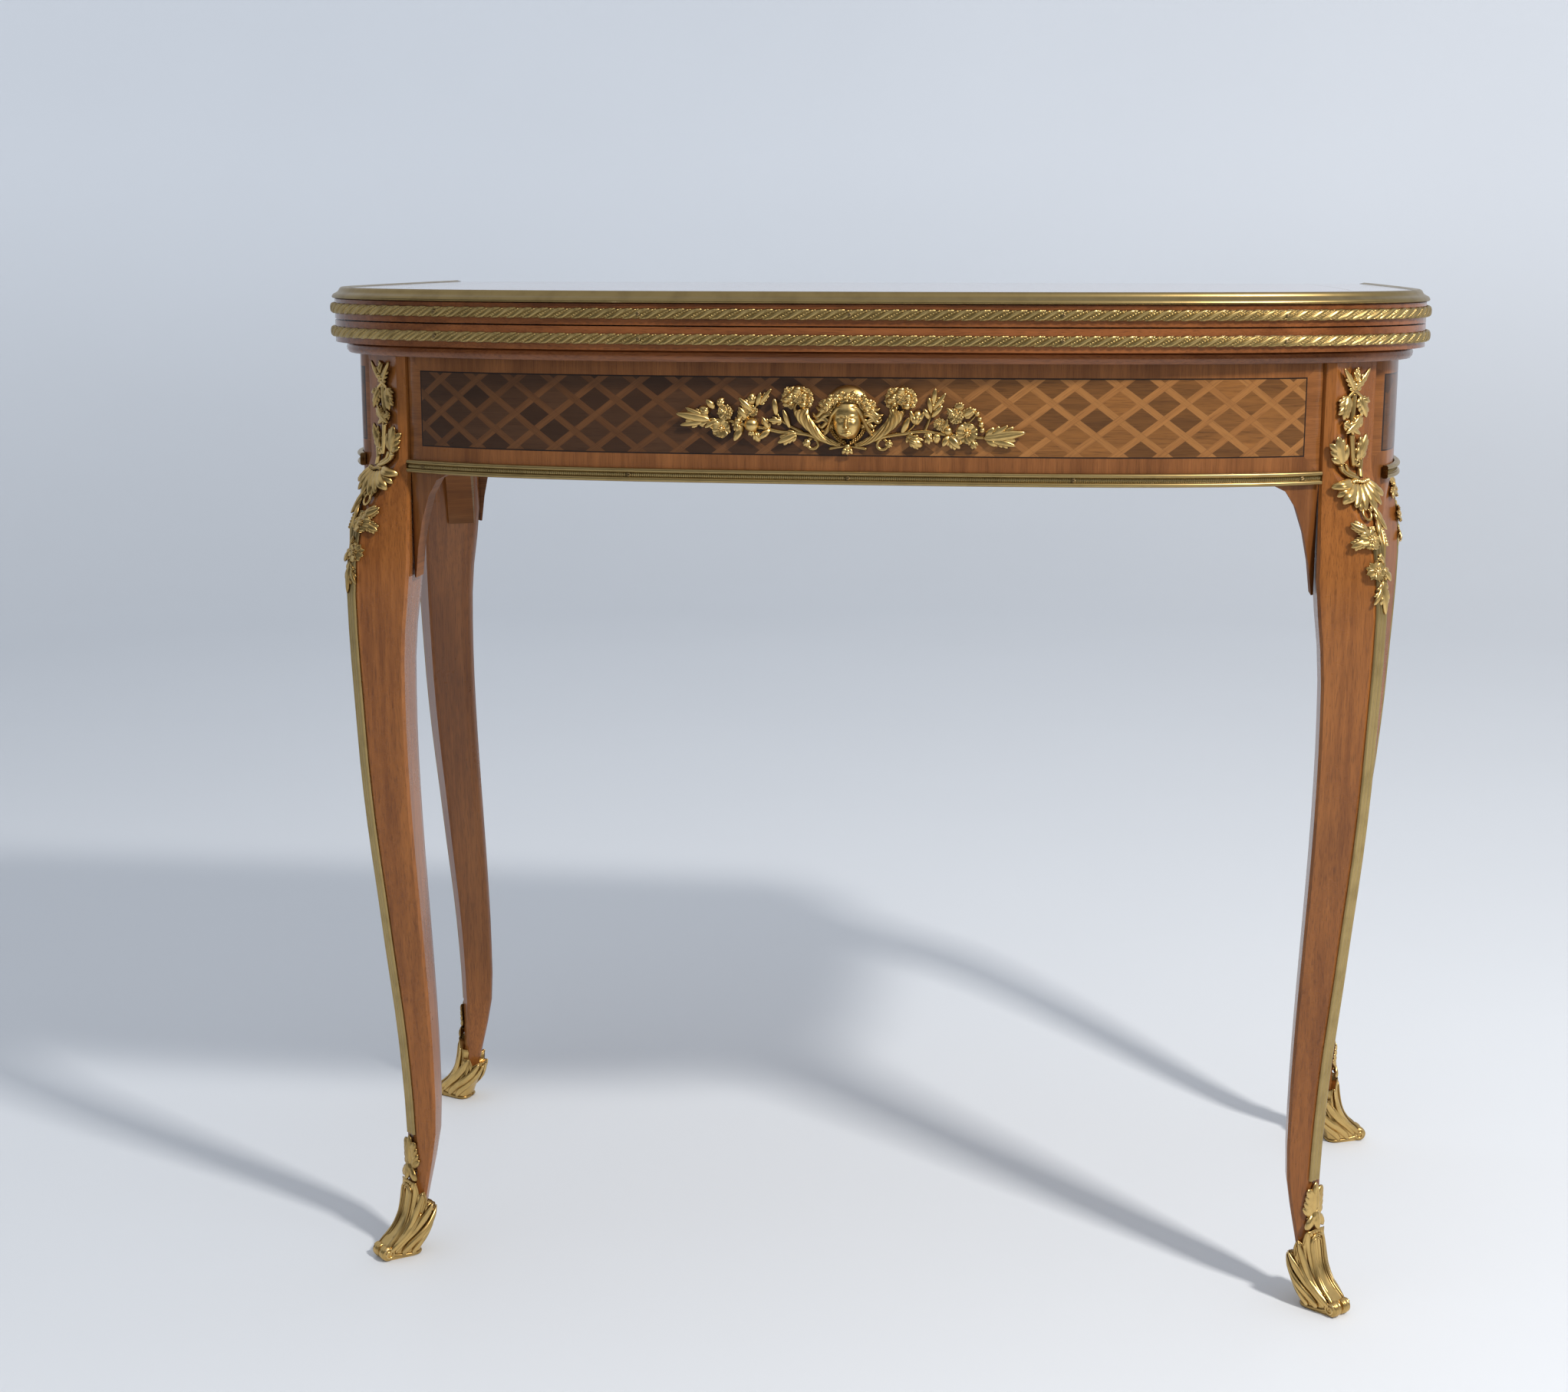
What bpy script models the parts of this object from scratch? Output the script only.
"""Fold-over games table: a swivelling, folding top on a bowed frame with four cabriole legs.

Units are metres, +Z is up and the front of the table faces -Y.
The origin is on the floor, under the middle of the top.
"""
import math

import bmesh
import bpy
from mathutils import Vector

# Fits
GAP = 0.0003
RUN_GAP = 0.0004

# Top, in plan
TOP_WIDTH = 0.831
TOP_DEPTH = 0.4597
TOP_BELLY = 0.2671
TOP_POWER = 2.71
TOP_NARROWING = 0.0077

# Top, in height
TABLE_HEIGHT = 0.765
RIM_HEIGHT = 0.0088
RIM_WIDTH = 0.012
UPPER_EDGE = 0.0147
LEAF_SPLIT = 0.001
LOWER_EDGE = 0.0165
MOULDING_HEIGHT = 0.0081
EDGE_INSET = 0.002
STEP_BACK = 0.0018
MOULDING_INSET = 0.010
MOULDING_WIDTH = 0.015
ROPE_HEIGHT = 0.008
ROPE_PROUD = 0.0015
CLOTH_INSET = 0.048
CLOTH_DEPTH = 0.0014
CLOTH_THICKNESS = 0.0010

# Frame
SIDE_OVERHANG = 0.0193
FRONT_OVERHANG = 0.0215
FRIEZE_BELLY = 0.2530
FRIEZE_POWER = 3.04
FRIEZE_NARROWING = -0.0010
FRIEZE_HEIGHT = 0.0855
APRON_THICKNESS = 0.020
EAR_REACH = 0.0315
EAR_DROP = 0.120
STRIP_HEIGHT = 0.0096
STRIP_PROUD = 0.0042
STRIP_SHORT = 0.0008
SIDE_STRIP_SHORT = 0.0075
BACK_RAIL_INSET = 0.013

# Legs: place of each corner and the angle that it faces
FRONT_LEG_INSET = 0.0403
FRONT_LEG_TURN = 45.0
BACK_LEG_INSET = 0.036
BACK_LEG_OUT = 0.006
BACK_LEG_TURN = 15.0
# height, reach of the canted corner, its half width, side corner out, side corner half width, inner radius
LEG_FOOT = (
    (0.030, -0.0020, 0.0040, -0.0065, 0.0085, 0.005),
    (0.060, -0.0035, 0.0066, -0.0098, 0.0129, 0.007),
    (0.100, -0.0043, 0.0075, -0.0146, 0.0178, 0.009),
)
# the same, with the height as a share of the way from the ankle to the apron's lower edge
LEG_SHAFT = (
    (0.10, -0.0015, 0.0075, -0.0139, 0.0199, 0.010),
    (0.19, 0.0028, 0.0075, -0.0112, 0.0215, 0.011),
    (0.28, 0.0086, 0.0075, -0.0073, 0.0234, 0.012),
    (0.38, 0.0146, 0.0075, -0.0029, 0.0250, 0.0125),
    (0.475, 0.0205, 0.0075, 0.0013, 0.0267, 0.013),
    (0.57, 0.0250, 0.0075, 0.0044, 0.0281, 0.0135),
    (0.66, 0.0277, 0.0075, 0.0059, 0.0293, 0.014),
    (0.755, 0.0303, 0.0075, 0.0063, 0.0315, 0.015),
    (0.83, 0.0312, 0.0075, 0.0042, 0.0353, 0.016),
    (0.87, 0.0302, 0.0075, 0.0023, 0.0360, 0.016),
    (0.91, 0.0268, 0.0075, 0.0013, 0.0352, 0.016),
    (0.945, 0.0205, 0.0105, -0.0015, 0.0325, 0.016),
    (0.98, 0.0105, 0.0170, -0.0034, 0.0309, 0.016),
)
LEG_POST = (0.0, 0.0215, -0.0065, 0.0280, 0.014)
ANKLE_HEIGHT = 0.100
POST_RISE = 0.010
CORNER_ROUND = 0.0015

# Gilt pieces of the legs
FILLET_WIDTH = 0.011
FILLET_THICKNESS = 0.0025
FILLET_TOP = 0.834
SABOT_RIM = 0.062
SABOT_HEEL_RIM = 0.033
TOE_REACH = 0.0305
TOE_RADIUS = 0.0062
TOE_WIDTH = 0.016
FOOT_LEAF_BOTTOM = 0.0655
FOOT_LEAF_TOP = 0.098

# Swivel, hinges and well
PIVOT_RAIL_WIDTH = 0.070
PIVOT_RAIL_THICKNESS = 0.022
BOLT_RADIUS = 0.006
FLANGE_RADIUS = 0.020
FLANGE_THICKNESS = 0.003
STOP_RADIUS = 0.006
STOP_DROP = 0.012
HINGE_SHARE = 0.70
HINGE_LENGTH = 0.045
HINGE_PLATE = 0.010
HINGE_THICKNESS = 0.0016
KNUCKLE_RADIUS = 0.0025
PIN_RADIUS = 0.0012
WELL_FLOOR_THICKNESS = 0.006
WELL_FLOOR_LIFT = 0.012
WELL_FLOOR_CLEAR = 0.003
BEARER_SIZE = 0.012
BEARER_SHARE = 0.72

# Levels and places that follow from these
HALF = TOP_WIDTH / 2
BACK_Y = (TOP_DEPTH + ROPE_PROUD - KNUCKLE_RADIUS) / 2
RIM_Z = TABLE_HEIGHT - RIM_HEIGHT
UPPER_Z = RIM_Z - UPPER_EDGE
LOWER_Z = UPPER_Z - LEAF_SPLIT
AXIS_Z = UPPER_Z - LEAF_SPLIT / 2
MOULDING_Z = LOWER_Z - LOWER_EDGE
TOP_UNDERSIDE = MOULDING_Z - MOULDING_HEIGHT
FRAME_TOP = TOP_UNDERSIDE - RUN_GAP
APRON_Z = FRAME_TOP - FRIEZE_HEIGHT
PIVOT = BACK_Y / 2
CURVE_STEPS = 20
BACK_STEPS = 4

for leftover in list(bpy.data.objects):
    bpy.data.objects.remove(leftover, do_unlink=True)

PARTS = bpy.data.collections.new("games_table")
bpy.context.scene.collection.children.link(PARTS)
CUTTERS = bpy.data.collections.new("cutters")
bpy.context.scene.collection.children.link(CUTTERS)
CUTTERS.hide_render = True


def make_material(name, colour, roughness, metallic=0.0):
    """A plain Principled material."""
    material = bpy.data.materials.new(name)
    material.use_nodes = True
    shader = material.node_tree.nodes["Principled BSDF"]
    shader.inputs["Base Color"].default_value = (*colour, 1.0)
    shader.inputs["Roughness"].default_value = roughness
    shader.inputs["Metallic"].default_value = metallic
    return material


WOOD = make_material("tulipwood", (0.36, 0.14, 0.055), 0.25)
INNER_WOOD = make_material("oak", (0.45, 0.30, 0.16), 0.55)
GILT = make_material("gilt_bronze", (0.78, 0.57, 0.25), 0.28, 1.0)
BRASS = make_material("brass", (0.75, 0.58, 0.28), 0.3, 1.0)
STEEL = make_material("steel", (0.55, 0.55, 0.56), 0.35, 1.0)
CLOTH = make_material("baize", (0.04, 0.17, 0.08), 0.95)


def place(obj, material=None, collection=PARTS):
    """Puts an object in its collection and gives it its material."""
    for home in list(obj.users_collection):
        home.objects.unlink(obj)
    collection.objects.link(obj)
    if material:
        obj.data.materials.clear()
        obj.data.materials.append(material)
    obj.hide_render = collection is CUTTERS
    obj.display_type = "WIRE" if collection is CUTTERS else "TEXTURED"
    return obj


def loft(name, sections, material, collection=PARTS):
    """Skins equal sections one after the other and closes both ends."""
    bm = bmesh.new()
    rings = []
    for section in sections:
        rings.append([bm.verts.new(point) for point in section])
    count = len(rings[0])
    for low, high in zip(rings, rings[1:]):
        for i in range(count):
            j = (i + 1) % count
            bm.faces.new((low[i], low[j], high[j]))
            bm.faces.new((low[i], high[j], high[i]))
    bm.faces.new(list(reversed(rings[0])))
    bm.faces.new(rings[-1])
    bmesh.ops.recalc_face_normals(bm, faces=bm.faces)
    mesh = bpy.data.meshes.new(name)
    bm.to_mesh(mesh)
    bm.free()
    return place(bpy.data.objects.new(name, mesh), material, collection)


def box(name, low, high, material, collection=PARTS):
    """An upright block between two corners."""
    bpy.ops.mesh.primitive_cube_add(size=1.0)
    obj = bpy.context.active_object
    obj.name = name
    for vertex in obj.data.vertices:
        vertex.co = Vector([low[k] + (vertex.co[k] + 0.5) * (high[k] - low[k]) for k in range(3)])
    return place(obj, material, collection)


def cylinder(name, radius, length, centre, axis, material, sides=24, collection=PARTS):
    """A round bar along X, Y or Z."""
    turn = {"X": (0.0, math.pi / 2, 0.0), "Y": (math.pi / 2, 0.0, 0.0), "Z": (0.0, 0.0, 0.0)}[axis]
    bpy.ops.mesh.primitive_cylinder_add(vertices=sides, radius=radius, depth=length, location=centre,
                                        rotation=turn)
    obj = bpy.context.active_object
    obj.name = name
    return place(obj, material, collection)


def blob(centre, radii, turn=(0.0, 0.0, 0.0), sides=6, rings=4):
    """A small ellipsoid, used as one petal, leaf, fruit or bead of a mount."""
    bpy.ops.mesh.primitive_uv_sphere_add(segments=sides, ring_count=rings, location=centre, rotation=turn)
    obj = bpy.context.active_object
    obj.scale = radii
    return place(obj, None, CUTTERS)


def settle(obj):
    """Replaces an object's mesh with its evaluated shape, welded, and clears its modifiers."""
    bpy.context.view_layer.update()
    graph = bpy.context.evaluated_depsgraph_get()
    mesh = bpy.data.meshes.new_from_object(obj.evaluated_get(graph))
    bm = bmesh.new()
    bm.from_mesh(mesh)
    bmesh.ops.remove_doubles(bm, verts=bm.verts, dist=0.00002)
    bmesh.ops.dissolve_degenerate(bm, edges=bm.edges, dist=0.00002)
    bm.to_mesh(mesh)
    bm.free()
    if obj.type != "MESH":
        solid = bpy.data.objects.new(obj.name, mesh)
        solid.matrix_world = obj.matrix_world
        home = obj.users_collection[0]
        bpy.data.objects.remove(obj, do_unlink=True)
        return place(solid, None, home)
    obj.modifiers.clear()
    obj.data = mesh
    return obj


def combine(obj, others, operation):
    """Applies exact Booleans to an object and removes the tools."""
    for other in others:
        tool = settle(other) if other.type != "MESH" else other
        modifier = obj.modifiers.new(operation.lower(), "BOOLEAN")
        modifier.operation = operation
        modifier.solver = "EXACT"
        modifier.object = tool
        settle(obj)
        bpy.data.objects.remove(tool, do_unlink=True)
    return obj


def thin_out(obj, share):
    """Keeps a share of an object's faces."""
    modifier = obj.modifiers.new("thin", "DECIMATE")
    modifier.ratio = share
    return settle(obj)


def cut(obj, *tools):
    """Cuts tools out of an object."""
    return combine(obj, tools, "DIFFERENCE")


def join(obj, *tools):
    """Fuses tools to an object."""
    return combine(obj, tools, "UNION")


def bow(half, depth, belly, power, narrowing, inset=0.0, back_inset=0.0):
    """Plan of a bowed outline: points and outward normals from back left, by the front, to back right.

    The front is a superellipse. Behind its widest place each side eases in a little towards the
    straight back.
    """
    reach = depth - belly
    right = []
    for i in range(CURVE_STEPS + 1):
        angle = math.pi / 2 * i / CURVE_STEPS
        x = half * math.sin(angle) ** (2 / power)
        y = -reach * max(math.cos(angle), 0.0) ** (2 / power)
        normal = Vector((x ** (power - 1) / half**power, -((-y) ** (power - 1)) / reach**power)).normalized()
        right.append((Vector((x, BACK_Y - belly + y)), normal))
    for i in range(1, BACK_STEPS + 1):
        share = i / BACK_STEPS
        x = half - narrowing * share**2
        normal = Vector((1.0, 2 * narrowing * share / belly)).normalized()
        right.append((Vector((x, BACK_Y - belly * (1 - share))), normal))
    moved = [(point - normal * inset, normal) for point, normal in right]
    last, normal = moved[-1]
    shift = BACK_Y - back_inset - last.y
    moved[-1] = (Vector((last.x - shift * normal.y / normal.x, last.y + shift)), normal)
    left = [(Vector((-p.x, p.y)), Vector((-n.x, n.y))) for p, n in reversed(moved[1:])]
    return left + moved


def top_plan(inset=0.0, back_inset=0.0005):
    """Plan of the top, inset from the rim's outermost line."""
    return bow(HALF, TOP_DEPTH, TOP_BELLY, TOP_POWER, TOP_NARROWING, inset, back_inset)


def frieze_plan(inset=0.0, back_inset=0.0):
    """Plan of the frieze under the top."""
    return bow(HALF - SIDE_OVERHANG, TOP_DEPTH - FRONT_OVERHANG, FRIEZE_BELLY, FRIEZE_POWER,
               FRIEZE_NARROWING, inset, back_inset)


def frieze_front(x):
    """Y of the frieze's front face at a place across the table."""
    half = HALF - SIDE_OVERHANG
    reach = TOP_DEPTH - FRONT_OVERHANG - FRIEZE_BELLY
    share = max(1 - (abs(x) / half) ** FRIEZE_POWER, 0.0) ** (1 / FRIEZE_POWER)
    return BACK_Y - FRIEZE_BELLY - reach * share


def frieze_side(y):
    """X of the frieze's right side at a place along its depth."""
    half = HALF - SIDE_OVERHANG
    reach = TOP_DEPTH - FRONT_OVERHANG - FRIEZE_BELLY
    ahead = BACK_Y - FRIEZE_BELLY - y
    if ahead > 0:
        return half * max(1 - (ahead / reach) ** FRIEZE_POWER, 0.0) ** (1 / FRIEZE_POWER)
    return half - FRIEZE_NARROWING * (ahead / FRIEZE_BELLY) ** 2


def level(plan, z):
    """A plan's points at one height."""
    return [(point.x, point.y, z) for point, _ in plan]


def run(name, plan, profile, material):
    """A moulding: a closed profile of (out, height) points carried along a plan."""
    sections = []
    for point, normal in plan:
        sections.append([(point.x + normal.x * out, point.y + normal.y * out, z) for out, z in profile])
    return loft(name, sections, material)


# Upper leaf: recess for the cloth below, rebate for the rim above
FIELD_Z = TABLE_HEIGHT - 0.0012
upper_leaf = loft("upper_leaf", [
    level(top_plan(CLOTH_INSET, 0.016), UPPER_Z + CLOTH_DEPTH),
    level(top_plan(CLOTH_INSET, 0.016), UPPER_Z),
    level(top_plan(EDGE_INSET), UPPER_Z),
    level(top_plan(EDGE_INSET), RIM_Z),
    level(top_plan(RIM_WIDTH, STEP_BACK), RIM_Z),
    level(top_plan(RIM_WIDTH, STEP_BACK), FIELD_Z),
], WOOD)
run("top_rim", top_plan(0.0, 0.0012), [
    (-RIM_WIDTH + GAP, RIM_Z + GAP),
    (-0.0030, RIM_Z + GAP),
    (-0.0004, RIM_Z + 0.0008),
    (0.0, RIM_Z + 0.0018),
    (-0.0012, RIM_Z + 0.0036),
    (-0.0044, RIM_Z + 0.0054),
    (-0.0058, RIM_Z + 0.0076),
    (-0.0072, TABLE_HEIGHT),
    (-0.0094, TABLE_HEIGHT - 0.0004),
    (-RIM_WIDTH + GAP, FIELD_Z + 0.0001),
], GILT)


def rope(name, middle):
    """Half-round strip on a leaf's edge, where the twisted ribbon runs."""
    seat = -EDGE_INSET + GAP
    proud = ROPE_PROUD - seat
    profile = [(seat, middle - ROPE_HEIGHT / 2)]
    for i in range(5):
        angle = math.pi * (0.15 + 0.7 * i / 4)
        profile.append((seat + proud * math.sin(angle) ** 0.7, middle - ROPE_HEIGHT / 2 * math.cos(angle)))
    profile.append((seat, middle + ROPE_HEIGHT / 2))
    return run(name, top_plan(0.0, 0.004), profile, GILT)


rope("upper_rope", UPPER_Z + UPPER_EDGE * 0.54)
rope("lower_rope", MOULDING_Z + LOWER_EDGE * 0.48)

# Lower leaf: recess for the cloth above, a step below for the moulding
lower_leaf = loft("lower_leaf", [
    level(top_plan(CLOTH_INSET, 0.016), LOWER_Z - CLOTH_DEPTH),
    level(top_plan(CLOTH_INSET, 0.016), LOWER_Z),
    level(top_plan(EDGE_INSET), LOWER_Z),
    level(top_plan(EDGE_INSET), MOULDING_Z),
    level(top_plan(MOULDING_INSET + MOULDING_WIDTH, STEP_BACK), MOULDING_Z),
    level(top_plan(MOULDING_INSET + MOULDING_WIDTH, STEP_BACK), TOP_UNDERSIDE),
], WOOD)
run("under_moulding", top_plan(0.0, 0.001), [
    (-MOULDING_INSET - MOULDING_WIDTH + GAP, TOP_UNDERSIDE),
    (-MOULDING_INSET - 0.0020, TOP_UNDERSIDE),
    (-MOULDING_INSET - 0.0004, TOP_UNDERSIDE + MOULDING_HEIGHT * 0.25),
    (-MOULDING_INSET, TOP_UNDERSIDE + MOULDING_HEIGHT * 0.5),
    (-MOULDING_INSET - 0.0006, TOP_UNDERSIDE + MOULDING_HEIGHT * 0.78),
    (-MOULDING_INSET - 0.0026, MOULDING_Z - GAP),
    (-MOULDING_INSET - MOULDING_WIDTH + GAP, MOULDING_Z - GAP),
], WOOD)


def cloth(name, low, high):
    """Playing cloth let into a leaf."""
    plan = top_plan(CLOTH_INSET + GAP, 0.016 + GAP)
    return loft(name, [level(plan, low), level(plan, high)], CLOTH)


cloth("upper_cloth", UPPER_Z + CLOTH_DEPTH - GAP - CLOTH_THICKNESS, UPPER_Z + CLOTH_DEPTH - GAP)
cloth("lower_cloth", LOWER_Z - CLOTH_DEPTH + GAP, LOWER_Z - CLOTH_DEPTH + GAP + CLOTH_THICKNESS)


def hinge(side, x):
    """Brass butt hinge on the back edge: two plates with knuckles and a pin, let into both leaves."""
    knuckle = HINGE_LENGTH / 3
    half = HINGE_LENGTH / 2
    centre = (x, BACK_Y, AXIS_Z)
    for leaf in (upper_leaf, lower_leaf):
        cut(leaf, cylinder("seat", KNUCKLE_RADIUS + RUN_GAP, HINGE_LENGTH + 2 * RUN_GAP, centre, "X",
                           None, 16, CUTTERS))
    for leaf, name, sign, own in ((lower_leaf, "lower", -1, (-1, 1)), (upper_leaf, "upper", 1, (0,))):
        near = AXIS_Z + sign * LEAF_SPLIT / 2
        far = near + sign * HINGE_PLATE
        low, high = min(near, far), max(near, far)
        cut(leaf, box("seat", (x - half - GAP, BACK_Y - 0.0005 - HINGE_THICKNESS - GAP, low - GAP),
                      (x + half + GAP, BACK_Y + 0.01, high + GAP), None, CUTTERS))
        plate = box(f"{side}_hinge_{name}", (x - half, BACK_Y - 0.0005 - HINGE_THICKNESS, low),
                    (x + half, BACK_Y - 0.0005, high), BRASS)
        for third in (-1, 0, 1):
            middle = (x + third * knuckle, BACK_Y, AXIS_Z)
            if third not in own:
                cut(plate, cylinder("clear", KNUCKLE_RADIUS + RUN_GAP, knuckle + GAP, middle, "X",
                                    None, 16, CUTTERS))
        for third in own:
            middle = (x + third * knuckle, BACK_Y, AXIS_Z)
            join(plate, cylinder("knuckle", KNUCKLE_RADIUS, knuckle - GAP, middle, "X", None, 16, CUTTERS))
        cut(plate, cylinder("bore", PIN_RADIUS + RUN_GAP / 2, HINGE_LENGTH * 2, centre, "X",
                            None, 12, CUTTERS))
    cylinder(f"{side}_hinge_pin", PIN_RADIUS, HINGE_LENGTH - 0.001, centre, "X", STEEL, 12)


hinge("left", -HALF * HINGE_SHARE)
hinge("right", HALF * HINGE_SHARE)

# Swivel: a flanged bolt in the lower leaf turns in the pivot rail
cut(lower_leaf, cylinder("seat", FLANGE_RADIUS + GAP, 2 * FLANGE_THICKNESS,
                         (PIVOT, PIVOT, TOP_UNDERSIDE), "Z", None, 32, CUTTERS))
bolt = cylinder("pivot_bolt", FLANGE_RADIUS, FLANGE_THICKNESS - GAP,
                (PIVOT, PIVOT, TOP_UNDERSIDE + FLANGE_THICKNESS / 2 - GAP / 2), "Z", STEEL, 32)
RAIL_Z = FRAME_TOP - PIVOT_RAIL_THICKNESS
SHANK = TOP_UNDERSIDE - RAIL_Z + 0.013
join(bolt, cylinder("shank", BOLT_RADIUS, SHANK + 0.001,
                    (PIVOT, PIVOT, TOP_UNDERSIDE + 0.001 - (SHANK + 0.001) / 2), "Z", None, 24, CUTTERS))
washer = cylinder("pivot_washer", 0.014, 0.002, (PIVOT, PIVOT, RAIL_Z - 0.001 - RUN_GAP), "Z", STEEL)
cut(washer, cylinder("bore", BOLT_RADIUS + GAP, 0.01, (PIVOT, PIVOT, RAIL_Z), "Z", None, 24, CUTTERS))
nut = cylinder("pivot_nut", 0.0115, 0.008, (PIVOT, PIVOT, RAIL_Z - 0.0065 - RUN_GAP - GAP), "Z", STEEL, 6)
cut(nut, cylinder("bore", BOLT_RADIUS + GAP, 0.03, (PIVOT, PIVOT, RAIL_Z), "Z", None, 24, CUTTERS))

# Pivot rail, from the front apron to the back rail
RAIL_BACK = BACK_Y - BACK_RAIL_INSET - APRON_THICKNESS - GAP
plan = [(PIVOT + PIVOT_RAIL_WIDTH / 2, RAIL_BACK), (PIVOT - PIVOT_RAIL_WIDTH / 2, RAIL_BACK)]
for i in range(5):
    x = PIVOT + PIVOT_RAIL_WIDTH * (i / 4 - 0.5)
    plan.append((x, frieze_front(x) + APRON_THICKNESS + GAP))
pivot_rail = loft("pivot_rail", [[(x, y, z) for x, y in plan] for z in (RAIL_Z, FRAME_TOP)], INNER_WOOD)
cut(pivot_rail, cylinder("bore", BOLT_RADIUS + RUN_GAP, 4 * PIVOT_RAIL_THICKNESS, (PIVOT, PIVOT, RAIL_Z),
                         "Z", None, 24, CUTTERS))

# Swivel stops: a peg under the leaf meets the back rail closed and the block turned
STOP_OFF = RAIL_BACK - STOP_RADIUS - PIVOT
cylinder("stop_peg", STOP_RADIUS, STOP_DROP,
         (PIVOT - STOP_OFF, PIVOT + STOP_OFF, TOP_UNDERSIDE - STOP_DROP / 2 - GAP), "Z", BRASS, 16)
box("stop_block", (PIVOT - STOP_OFF - 0.012, PIVOT - STOP_OFF - STOP_RADIUS - 0.018, FRAME_TOP - 0.020),
    (PIVOT - PIVOT_RAIL_WIDTH / 2 - GAP, PIVOT - STOP_OFF - STOP_RADIUS - GAP, FRAME_TOP - GAP), INNER_WOOD)

# Leg corners: where each leg stands and the way that it faces
FRONT_X = HALF - SIDE_OVERHANG - FRONT_LEG_INSET
FRONT_Y = frieze_front(FRONT_X)
BACK_X = frieze_side(BACK_Y - BACK_LEG_INSET) + BACK_LEG_OUT
LEGS = {
    "front_left": (-FRONT_X, FRONT_Y, math.radians(180 + FRONT_LEG_TURN)),
    "front_right": (FRONT_X, FRONT_Y, math.radians(-FRONT_LEG_TURN)),
    "back_left": (-BACK_X, BACK_Y - BACK_LEG_INSET, math.radians(180 - BACK_LEG_TURN)),
    "back_right": (BACK_X, BACK_Y - BACK_LEG_INSET, math.radians(BACK_LEG_TURN)),
}
POST_DEPTH = (LEG_POST[3] - LEG_POST[2]) / math.sqrt(2)


def ear_stations(length, steps):
    """Places along an apron and how far its lower edge drops there, with a curved ear at each end."""
    ear = []
    for degrees in (20, 32, 45, 60, 75, 90):
        angle = math.radians(degrees)
        ear.append((EAR_REACH * (1 - math.cos(angle)), EAR_DROP * (1 - math.sin(angle))))
    ear[0:0] = [(0.0, ear[0][1])]
    inside = length - 2 * EAR_REACH
    middle = [(EAR_REACH + inside * i / steps, 0.0) for i in range(1, steps)]
    return ear + middle + [(length - along, drop) for along, drop in reversed(ear)]


def chord(face, stations, at):
    """Reads a curved face as the finished piece has it, straight between its stations."""
    above = next((i for i, station in enumerate(stations) if station >= at), len(stations) - 1)
    above = max(above, 1)
    low, high = stations[above - 1], stations[above]
    share = (at - low) / (high - low)
    return face(low) * (1 - share) + face(high) * share


# Front apron, between the front posts
FRONT_END = FRONT_X - POST_DEPTH - GAP
FRONT_EASE = 0.0025
FRONT_STATIONS = [along - FRONT_END for along, _ in ear_stations(2 * FRONT_END, 16)]
sections = []
for along, drop in ear_stations(2 * FRONT_END, 16):
    x = along - FRONT_END
    face = frieze_front(x)
    edge = min(FRONT_END - abs(x), FRONT_EASE)
    outer = face + (FRONT_EASE - edge)
    low = APRON_Z - drop
    sections.append([(x, outer, low), (x, outer, FRAME_TOP), (x, face + APRON_THICKNESS, FRAME_TOP),
                     (x, face + APRON_THICKNESS, low)])
loft("front_apron", sections, WOOD)

# Side aprons, from the front posts to the back posts
SIDE_START = FRONT_Y + POST_DEPTH + GAP
SIDE_EASE = 0.0075
SKEW = math.tan(math.radians(45 - BACK_LEG_TURN))
TURN_COS = math.cos(math.radians(BACK_LEG_TURN))
TURN_SIN = math.sin(math.radians(BACK_LEG_TURN))
POST_CORNER_X = BACK_X + LEG_POST[2] * TURN_COS + LEG_POST[3] * TURN_SIN
POST_CORNER_Y = BACK_Y - BACK_LEG_INSET + LEG_POST[2] * TURN_SIN - LEG_POST[3] * TURN_COS
SIDE_END = POST_CORNER_Y + SKEW * (POST_CORNER_X - frieze_side(POST_CORNER_Y)) - 1.5 * GAP
SIDE_STATIONS = [SIDE_START + along for along, _ in ear_stations(SIDE_END - SIDE_START, 8)]
for side, sign in (("left", -1), ("right", 1)):
    sections = []
    length = SIDE_END - SIDE_START
    for along, drop in ear_stations(length, 8):
        y = SIDE_START + along
        face = frieze_side(y)
        outer = face - (SIDE_EASE - min(along, SIDE_EASE))
        back = y + SKEW * APRON_THICKNESS * max(along / length - 0.7, 0.0) / 0.3
        low = APRON_Z - drop
        sections.append([(sign * outer, y, low), (sign * outer, y, FRAME_TOP),
                         (sign * (face - APRON_THICKNESS), back, FRAME_TOP),
                         (sign * (face - APRON_THICKNESS), back, low)])
    loft(f"{side}_apron", sections, WOOD)

# Back rail
RAIL_FACE = BACK_Y - BACK_RAIL_INSET
REAR_CORNER_X = BACK_X + LEG_POST[2] * TURN_COS - LEG_POST[3] * TURN_SIN
REAR_CORNER_Y = BACK_Y - BACK_LEG_INSET + LEG_POST[2] * TURN_SIN + LEG_POST[3] * TURN_COS
RAIL_END = REAR_CORNER_X - SKEW * (REAR_CORNER_Y - RAIL_FACE) - 1.5 * GAP
sections = []
for along, drop in ear_stations(2 * RAIL_END, 4):
    x = along - RAIL_END
    inner = x * (1 - SKEW * APRON_THICKNESS / RAIL_END)
    low = APRON_Z - drop
    sections.append([(x, RAIL_FACE, low), (x, RAIL_FACE, FRAME_TOP),
                     (inner, RAIL_FACE - APRON_THICKNESS, FRAME_TOP),
                     (inner, RAIL_FACE - APRON_THICKNESS, low)])
loft("back_rail", sections, WOOD)

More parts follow.
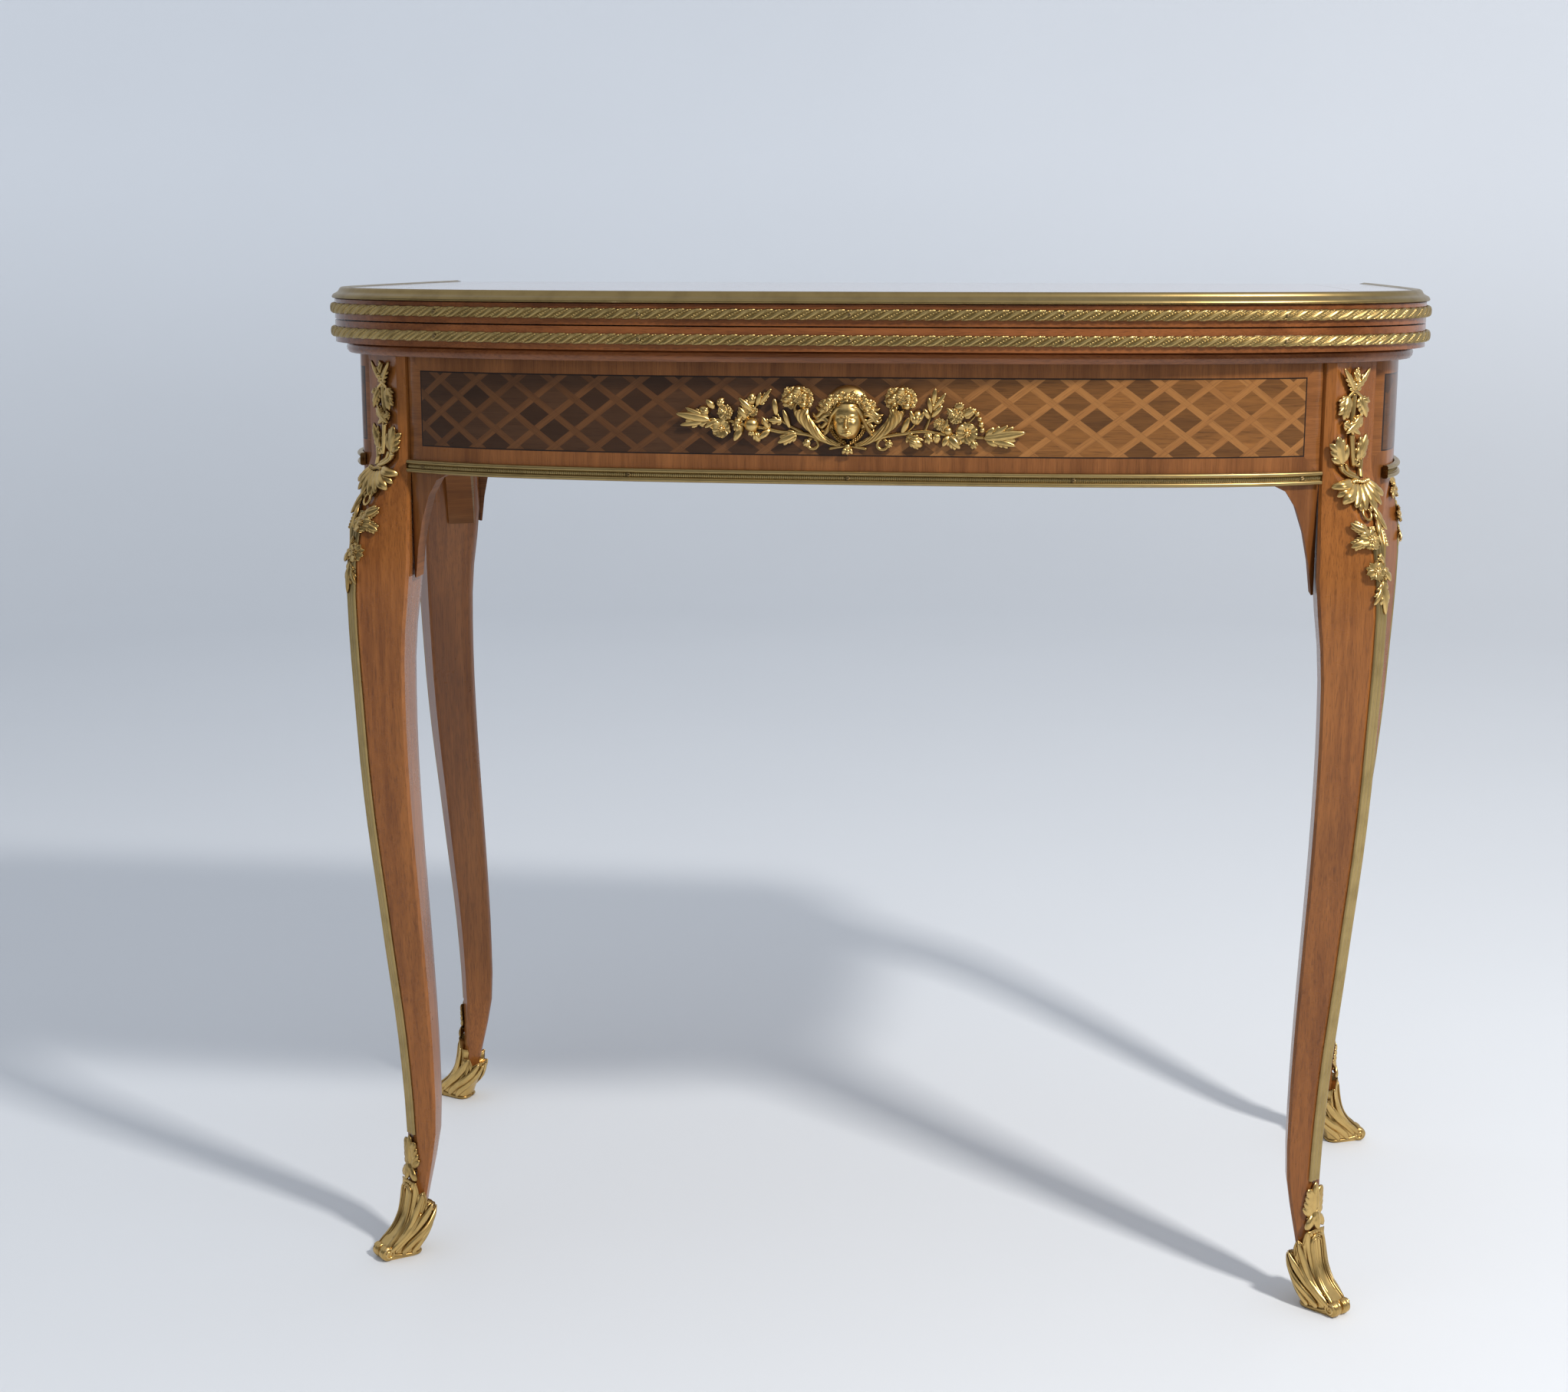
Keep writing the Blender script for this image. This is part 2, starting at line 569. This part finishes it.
# Bearers of the well floor
FLOOR_Z = APRON_Z + WELL_FLOOR_LIFT
BEARER_END = FRONT_END * BEARER_SHARE
FRONT_BEARER_Y = frieze_front(BEARER_END) + APRON_THICKNESS + 3 * GAP
for name, y in (("back_bearer", RAIL_BACK - BEARER_SIZE), ("front_bearer", FRONT_BEARER_Y)):
    box(name, (-BEARER_END, y, FLOOR_Z - BEARER_SIZE - GAP), (BEARER_END, y + BEARER_SIZE, FLOOR_Z - GAP),
        INNER_WOOD)


def strip(name, plan):
    """Two round rails with a groove between, run along an apron's lower edge."""
    base = APRON_Z + 0.0004
    profile = [
        (GAP, base), (STRIP_PROUD * 0.75, base), (STRIP_PROUD, base + STRIP_HEIGHT * 0.18),
        (STRIP_PROUD * 0.62, base + STRIP_HEIGHT * 0.38), (STRIP_PROUD * 0.62, base + STRIP_HEIGHT * 0.62),
        (STRIP_PROUD, base + STRIP_HEIGHT * 0.82), (STRIP_PROUD * 0.75, base + STRIP_HEIGHT),
        (GAP, base + STRIP_HEIGHT),
    ]
    return run(name, plan, profile, GILT)


def plan_normal(face, at):
    """Slope of a plan curve by a small difference."""
    return (face(at + 0.001) - face(at - 0.001)) / 0.002


def between(stations, low, high):
    """The stations inside a range, with the range's own ends."""
    return [low] + [at for at in stations if low + 0.0015 < at < high - 0.0015] + [high]


plan = []
STRIP_END = FRONT_END - STRIP_SHORT
for x in between(FRONT_STATIONS, -STRIP_END, STRIP_END):
    normal = Vector((plan_normal(frieze_front, x), -1.0)).normalized()
    plan.append((Vector((x, chord(frieze_front, FRONT_STATIONS, x))), normal))
strip("front_strip", plan)
for side, sign in (("left", -1), ("right", 1)):
    plan = []
    for y in between(SIDE_STATIONS, SIDE_START + SIDE_EASE, SIDE_END - SIDE_STRIP_SHORT):
        normal = Vector((1.0, -plan_normal(frieze_side, y))).normalized()
        place_on = Vector((sign * chord(frieze_side, SIDE_STATIONS, y), y))
        plan.append((place_on, Vector((sign * normal.x, normal.y))))
    strip(f"{side}_strip", plan)


def leg_rows():
    """Every row of the leg's shape, from the foot to the top of the post."""
    rows = list(LEG_FOOT)
    for share, *shape in LEG_SHAFT:
        rows.append((ANKLE_HEIGHT + share * (APRON_Z - ANKLE_HEIGHT), *shape))
    rows.append((APRON_Z + POST_RISE, *LEG_POST))
    rows.append((FRAME_TOP, *LEG_POST))
    return rows


LEG_ROWS = leg_rows()


def leg_shape(z):
    """Shape of the leg at a height, read smoothly between its rows."""
    if z >= LEG_ROWS[-2][0]:
        return LEG_POST
    below = max(i for i, row in enumerate(LEG_ROWS[:-1]) if row[0] <= z or i == 0)
    knots = [LEG_ROWS[min(max(below + k, 0), len(LEG_ROWS) - 2)] for k in (-1, 0, 1, 2)]
    span = knots[2][0] - knots[1][0]
    t = (z - knots[1][0]) / span
    result = []
    for k in range(1, 6):
        slopes = []
        for a, b in ((0, 2), (1, 3)):
            run_up = knots[b][0] - knots[a][0]
            slopes.append((knots[b][k] - knots[a][k]) / run_up * span if run_up else 0.0)
        value = knots[1][k] * (2 * t**3 - 3 * t**2 + 1) + knots[2][k] * (3 * t**2 - 2 * t**3)
        result.append(value + slopes[0] * (t**3 - 2 * t**2 + t) + slopes[1] * (t**3 - t**2))
    return tuple(result)


def leg_section(z, grow=0.0):
    """Outline of the leg at a height: canted corner, two faces and a rounded inside."""
    reach, cant, corner_out, corner, radius = leg_shape(z)
    slide = grow * (math.sqrt(2) - 1)
    half = [(reach + grow, cant + slide)]
    side_out, side = corner_out, corner + grow * math.sqrt(2)
    half.append((side_out + CORNER_ROUND, side - CORNER_ROUND))
    half.append((side_out - CORNER_ROUND, side - CORNER_ROUND))
    inner = corner_out - corner - grow * math.sqrt(2)
    start = radius / math.sqrt(2)
    half.append((inner + start, start))
    half.append((inner + start * 0.52, start * 0.40))
    right = [(out, across, z) for out, across in half]
    left = [(out, -across, z) for out, across in reversed(half)]
    return right + left


def leg_heights(low, high, count):
    """Evenly spread heights."""
    return [low + (high - low) * i / (count - 1) for i in range(count)]


def stand(solid, piece, material):
    """Sets one copy of a leg's piece at each of the four corners."""
    for corner, (x, y, turn) in LEGS.items():
        obj = bpy.data.objects.new(f"{corner}_{piece}", solid.data.copy())
        obj.location = (x, y, 0.0)
        obj.rotation_euler = (0.0, 0.0, turn)
        place(obj, material)
    bpy.data.objects.remove(solid, do_unlink=True)


KNEE_TOP = APRON_Z + POST_RISE
LEG_HEIGHTS = leg_heights(LEG_FOOT[0][0], ANKLE_HEIGHT, 4)
LEG_HEIGHTS += leg_heights(ANKLE_HEIGHT, KNEE_TOP, 22)[1:] + [FRAME_TOP]


def leg_solid(grow=0.0, foot=0.0, rise=0.0):
    """The leg, or a slightly larger and longer copy of it as a cutter."""
    sections = [leg_section(z, grow) for z in LEG_HEIGHTS]
    sections[0] = [(u, v, z - foot) for u, v, z in sections[0]]
    sections[-1] = [(u, v, z + rise) for u, v, z in sections[-1]]
    return loft("leg", sections, None, CUTTERS)


def surface(z):
    """Reach and half width of the finished leg's canted corner and the slope beside it."""
    above = next((i for i, height in enumerate(LEG_HEIGHTS) if height >= z), len(LEG_HEIGHTS) - 1)
    above = max(above, 1)
    low, high = LEG_HEIGHTS[above - 1], LEG_HEIGHTS[above]
    share = (z - low) / (high - low)
    reach, cant, out, corner, _ = [a + (b - a) * share for a, b in zip(leg_shape(low), leg_shape(high))]
    return reach, cant, (reach - out - CORNER_ROUND) / (corner - CORNER_ROUND - cant)


stand(leg_solid(), "leg", WOOD)

# Well floor, notched round the posts
plan = frieze_plan(APRON_THICKNESS + WELL_FLOOR_CLEAR, BACK_RAIL_INSET + APRON_THICKNESS + GAP)
well_floor = loft("well_floor", [level(plan, FLOOR_Z), level(plan, FLOOR_Z + WELL_FLOOR_THICKNESS)],
                  INNER_WOOD)
for x, y, turn in LEGS.values():
    post = leg_solid(GAP, rise=GAP)
    post.location = (x, y, 0.0)
    post.rotation_euler = (0.0, 0.0, turn)
    cut(well_floor, post)


def on_arris(name, rows):
    """A strip that lies on the leg's canted corner; rows give height, half width and thickness."""
    sections = []
    for z, half, thick in rows:
        reach, cant, slope = surface(z)
        flat = min(half, cant)
        seat = cant if half > cant else half * 0.97
        base = reach + GAP
        edge = base - (half - cant) * slope + GAP if half > cant else base
        right = [(base + thick, flat * 0.35, z), (base + thick * 0.86, flat * 0.8, z),
                 (edge + thick * 0.55, half, z), (edge, half, z), (base, seat, z)]
        left = [(out, -across, z) for out, across, _ in reversed(right)]
        sections.append(right + left)
    return loft(name, sections, None, CUTTERS)


FILLET_END = FILLET_TOP * APRON_Z + 0.008
FILLET_START = FOOT_LEAF_TOP + 0.0015


def shaped(shapes, low, high):
    """Rows of a strip on the leg's corner, at its own shapes, the leg's stations and each corner crossing."""
    shares = [share for share, _, _ in shapes]
    shares += [(z - low) / (high - low) for z in LEG_HEIGHTS]
    rows = []
    for share in sorted(set(shares)):
        if not 0.0 <= share <= 1.0:
            continue
        if rows and (share - rows[-1][3]) * (high - low) < 0.0008:
            continue
        after = next(i for i, shape in enumerate(shapes) if shape[0] >= share)
        before, after = shapes[max(after - 1, 0)], shapes[after]
        part = (share - before[0]) / (after[0] - before[0]) if after is not before else 0.0
        half = before[1] + (after[1] - before[1]) * part
        thick = before[2] + (after[2] - before[2]) * part
        rows.append((low + share * (high - low), half, thick, share))
    crossed = []
    for row, after in zip(rows, rows[1:]):
        crossed.append(row[:3])
        spare = row[1] - surface(row[0])[1]
        spare_after = after[1] - surface(after[0])[1]
        if spare * spare_after < 0.0:
            part = spare / (spare - spare_after)
            crossed.append(tuple(a + (b - a) * part for a, b in zip(row[:3], after[:3])))
    return crossed + [rows[-1][:3]]


rows = shaped(((0.0, FILLET_WIDTH / 2, FILLET_THICKNESS), (1.0, FILLET_WIDTH / 2, FILLET_THICKNESS)),
              FILLET_START, FILLET_END)
stand(on_arris("fillet", rows), "fillet", GILT)

FOOT_LEAF = (
    # share of the height, half width, thickness
    (0.0, 0.0045, 0.0045),
    (0.2, 0.0060, 0.0060),
    (0.45, 0.0064, 0.0064),
    (0.7, 0.0056, 0.0056),
    (0.88, 0.0040, 0.0040),
    (1.0, 0.0020, 0.0022),
)
stand(on_arris("foot_leaf", shaped(FOOT_LEAF, FOOT_LEAF_BOTTOM, FOOT_LEAF_TOP)), "foot_leaf", GILT)

# Sabot: a cup that follows the foot and ends in a pair of scrolls at the toe
SABOT_ROWS = (
    # height, front, front half width, side out, side half width, heel
    (0.0, 0.0240, 0.0065, 0.0015, 0.0098, -0.0045),
    (0.006, 0.0290, 0.0070, 0.0010, 0.0105, -0.0060),
    (0.013, 0.0250, 0.0070, -0.0010, 0.0110, -0.0090),
    (0.021, 0.0130, 0.0070, -0.0035, 0.0118, -0.0135),
    (0.031, 0.0060, 0.0070, -0.0065, 0.0125, -0.0180),
    (0.045, 0.0022, 0.0080, -0.0085, 0.0150, -0.0220),
    (SABOT_RIM, 0.0000, 0.0090, -0.0105, 0.0170, -0.0255),
)
sections = []
for z, front, front_half, side_out, side_half, heel in SABOT_ROWS:
    half = [(front + 0.0015, front_half * 0.4), (front, front_half), (side_out, side_half),
            ((side_out + heel) / 2 - 0.0015, side_half * 0.72), (heel, 0.0035)]
    sections.append([(u, v, z) for u, v in half] + [(u, -v, z) for u, v in reversed(half)])
sabot = loft("sabot", sections, None, CUTTERS)
for side in (-1, 1):
    join(sabot, cylinder("toe", TOE_RADIUS, TOE_WIDTH / 2 - 0.0006,
                         (TOE_REACH - TOE_RADIUS, side * (TOE_WIDTH / 4 + 0.0003), TOE_RADIUS), "Y",
                         None, 14, CUTTERS))
cut(sabot, leg_solid(GAP, foot=GAP))
RIM_LINE = (
    (-0.06, SABOT_HEEL_RIM),
    (-0.0165, SABOT_HEEL_RIM),
    (-0.0145, SABOT_HEEL_RIM + 0.007),
    (-0.0105, SABOT_HEEL_RIM + 0.011),
    (-0.0080, SABOT_HEEL_RIM + 0.010),
    (-0.0050, SABOT_HEEL_RIM + 0.017),
    (-0.0015, SABOT_HEEL_RIM + 0.022),
    (0.0, SABOT_RIM),
    (0.0, SABOT_RIM + 0.03),
    (-0.06, SABOT_RIM + 0.03),
)
cut(sabot, loft("rim", [[(u, v, z) for u, z in RIM_LINE] for v in (-0.05, 0.05)], None, CUTTERS))
stand(sabot, "sabot", GILT)


# Corner mount: bud and crossed leaves on the post, a large flower on the knee, two smaller ones and a tip
MOUNT_TOP = FRAME_TOP - 0.003
MOUNT_LOW = FILLET_END + 0.0025
CORNER_MOUNT = (
    # share of the height, half width, thickness
    (0.0, 0.0030, 0.0018),
    (0.03, 0.0055, 0.0030),
    (0.055, 0.0078, 0.0040),
    (0.09, 0.0082, 0.0040),
    (0.12, 0.0080, 0.0050),
    (0.17, 0.0110, 0.0076),
    (0.22, 0.0082, 0.0058),
    (0.245, 0.0110, 0.0060),
    (0.30, 0.0145, 0.0080),
    (0.345, 0.0125, 0.0066),
    (0.37, 0.0098, 0.0056),
    (0.405, 0.0125, 0.0060),
    (0.44, 0.0150, 0.0072),
    (0.48, 0.0178, 0.0090),
    (0.525, 0.0185, 0.0094),
    (0.555, 0.0150, 0.0076),
    (0.58, 0.0085, 0.0048),
    (0.62, 0.0110, 0.0044),
    (0.665, 0.0190, 0.0050),
    (0.70, 0.0120, 0.0044),
    (0.725, 0.0080, 0.0044),
    (0.77, 0.0068, 0.0034),
    (0.80, 0.0120, 0.0040),
    (0.835, 0.0145, 0.0046),
    (0.865, 0.0100, 0.0042),
    (0.89, 0.0080, 0.0044),
    (0.93, 0.0130, 0.0044),
    (0.975, 0.0155, 0.0044),
    (1.0, 0.0060, 0.0030),
)
stand(on_arris("corner_mount", shaped(CORNER_MOUNT, MOUNT_LOW, MOUNT_TOP)), "corner_mount", GILT)

# Centre mount: mask between two horns of plenty, with a spray of fruit and flowers each side
MOUNT_Z = FRAME_TOP - 0.0395


def on_front(x, z, lift):
    """A place in front of the frieze, near its middle."""
    return Vector((x, frieze_front(x) - lift, MOUNT_Z + z))


centre = blob(on_front(0.0, 0.0030, 0.0045), (0.0095, 0.0085, 0.0130), sides=10, rings=7)
centre.name = "front_mount"
place(centre, GILT)
join(centre, blob(on_front(0.0, 0.0080, 0.0015), (0.0145, 0.0060, 0.0115), sides=10, rings=6))
join(centre, blob(on_front(0.0, -0.0125, 0.0020), (0.0090, 0.0048, 0.0080), sides=8))
for sign in (-1, 1):
    for x, z, wide, tall, thick, lean in (
        (0.0090, -0.0205, 0.0100, 0.0032, 0.0042, 0.0), (0.0220, -0.0170, 0.0095, 0.0045, 0.0056, 35.0),
        (0.0315, -0.0050, 0.0115, 0.0058, 0.0068, 65.0), (0.0470, -0.0070, 0.0190, 0.0026, 0.0036, 8.0),
        (0.0760, -0.0030, 0.0190, 0.0026, 0.0036, 5.0), (0.1050, -0.0012, 0.0180, 0.0024, 0.0034, 2.0),
    ):
        turn = (0.0, -sign * math.radians(lean), 0.0)
        join(centre, blob(on_front(sign * x, z, 0.0012), (wide, thick, tall), turn))
    for x, z, wide, tall, thick in (
        (0.0360, 0.0100, 0.0105, 0.0090, 0.0070), (0.0280, -0.0200, 0.0052, 0.0052, 0.0042),
        (0.0540, -0.0080, 0.0080, 0.0062, 0.0052), (0.0580, 0.0005, 0.0085, 0.0068, 0.0036),
        (0.0790, 0.0050, 0.0080, 0.0078, 0.0058), (0.0830, -0.0090, 0.0088, 0.0080, 0.0052),
        (0.0970, -0.0010, 0.0120, 0.0055, 0.0032), (0.1100, 0.0015, 0.0130, 0.0045, 0.0024),
    ):
        join(centre, blob(on_front(sign * x, z, 0.0018), (wide, thick, tall)))
sections = []
SEAT_HALF = FRONT_END * 0.5
for x in between(FRONT_STATIONS, -SEAT_HALF, SEAT_HALF):
    face = chord(frieze_front, FRONT_STATIONS, x) - GAP
    back = face + 2 * APRON_THICKNESS
    sections.append([(x, face, APRON_Z), (x, face, FRAME_TOP), (x, back, FRAME_TOP), (x, back, APRON_Z)])
thin_out(centre, 0.55)
cut(centre, loft("frieze", sections, None, CUTTERS))
